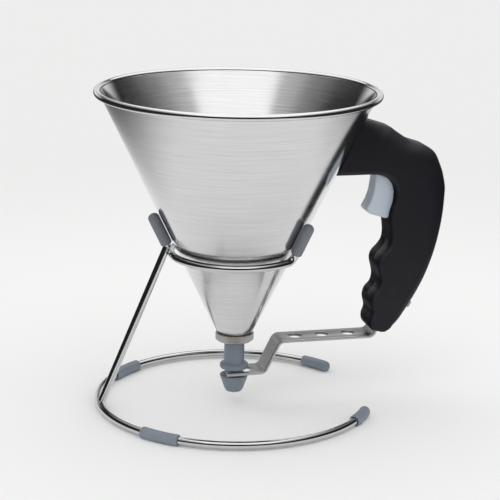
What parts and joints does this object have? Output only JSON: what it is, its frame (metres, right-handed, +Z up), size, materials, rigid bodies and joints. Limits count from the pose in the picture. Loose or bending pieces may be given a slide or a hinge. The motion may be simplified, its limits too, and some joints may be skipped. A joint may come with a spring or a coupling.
{
  "type": "confectionery funnel",
  "caption": "Hand-held piston funnel for pouring measured portions: a steel cone with a trigger handle, a sliding dosing nozzle under it and an open wire stand.",
  "frame": {"origin": "centre of the whole assembly's bounding box, at floor level", "axes": "+Z up along the cone's axis, +X from the cone towards the handle, +Y to the far side of the handle"},
  "size_m": [0.2412, 0.1916, 0.218],
  "materials": {
    "brushed_cone": "circumferentially brushed stainless sheet",
    "turned_steel": "turned and knurled stainless steel",
    "arm_steel": "polished stainless strip",
    "screw_steel": "plain stainless steel",
    "stand_wire": "bright polished wire",
    "blue_grey_rubber": "matt blue-grey silicone",
    "nozzle_rubber": "satin blue-grey silicone",
    "seal_rubber": "matt dark seal rubber",
    "black_plastic": "matt black moulded plastic",
    "trigger_plastic": "satin blue-grey moulded plastic",
    "button_plastic": "satin light grey moulded plastic"
  },
  "bodies": {
    "stand": {"base_ring": "stand_wire", "stand_leg": "stand_wire", "support_ring": "stand_wire", "leg_sleeve": "blue_grey_rubber", "support_sleeve_front": "blue_grey_rubber", "support_sleeve_rear": "blue_grey_rubber", "foot_sleeve_front": "blue_grey_rubber", "foot_sleeve_rear": "blue_grey_rubber", "end_cap_front": "blue_grey_rubber", "end_cap_rear": "blue_grey_rubber"},
    "funnel": {"funnel_cone": "brushed_cone", "outlet_ferrule": "turned_steel", "handle_bracket": "turned_steel", "handle_shell_front": "black_plastic", "handle_shell_rear": "black_plastic", "bracket_screw_lower": "screw_steel", "bracket_screw_upper": "screw_steel", "grip_screw_lower": "screw_steel", "grip_screw_upper": "screw_steel", "trigger_pin": "turned_steel", "arm_pin": "turned_steel", "return_spring": "screw_steel"},
    "trigger_lever": {"trigger": "trigger_plastic"},
    "arm_lever": {"dosing_arm": "arm_steel", "arm_bush": "black_plastic"},
    "nozzle": {"nozzle_piston": "nozzle_rubber", "valve_seal": "seal_rubber"},
    "gasket": {"collar_gasket": "seal_rubber"},
    "nut": {"collar_nut": "turned_steel"},
    "button": {"flow_button": "button_plastic"}
  },
  "joints": [
    {"name": "funnel_lift", "type": "slide", "parent": "stand", "child": "funnel", "axis": [0, 0, 1], "range_m": [0, 0.13]},
    {"name": "trigger_pull", "type": "hinge", "parent": "funnel", "child": "trigger_lever", "pos_m": [0.07985, 0, 0.16445], "axis": [0, -1, 0], "range_deg": [0, 10], "stiffness_Nm_per_rad": 1, "springref_deg": -8.59, "deforming": ["return_spring"]},
    {"name": "arm_swing", "type": "hinge", "parent": "funnel", "child": "arm_lever", "pos_m": [0.07782, 0, 0.05919], "axis": [0, 1, 0], "range_deg": [0, 3.36]},
    {"name": "nozzle_lift", "type": "slide", "parent": "funnel", "child": "nozzle", "axis": [0, 0, 1], "range_m": [0, 0.00601]},
    {"name": "gasket_drop", "type": "slide", "parent": "funnel", "child": "gasket", "axis": [0, 0, -1], "range_m": [0, 0.003]},
    {"name": "collar_turn", "type": "hinge", "parent": "gasket", "child": "nut", "pos_m": [-0.02481, 0, 0.0442], "axis": [0, 0, -1], "range_deg": [0, 720]},
    {"name": "button_slide", "type": "slide", "parent": "funnel", "child": "button", "axis": [0.5329, 0, 0.8462], "range_m": [0, 0.008]}
  ],
  "couplings": [
    {"joint": "arm_swing", "follows": "trigger_pull", "ratio": 0.3353},
    {"joint": "nozzle_lift", "follows": "trigger_pull", "m_per_rad": 0.034377},
    {"joint": "gasket_drop", "follows": "collar_turn", "m_per_rad": 0.0002387}
  ]
}
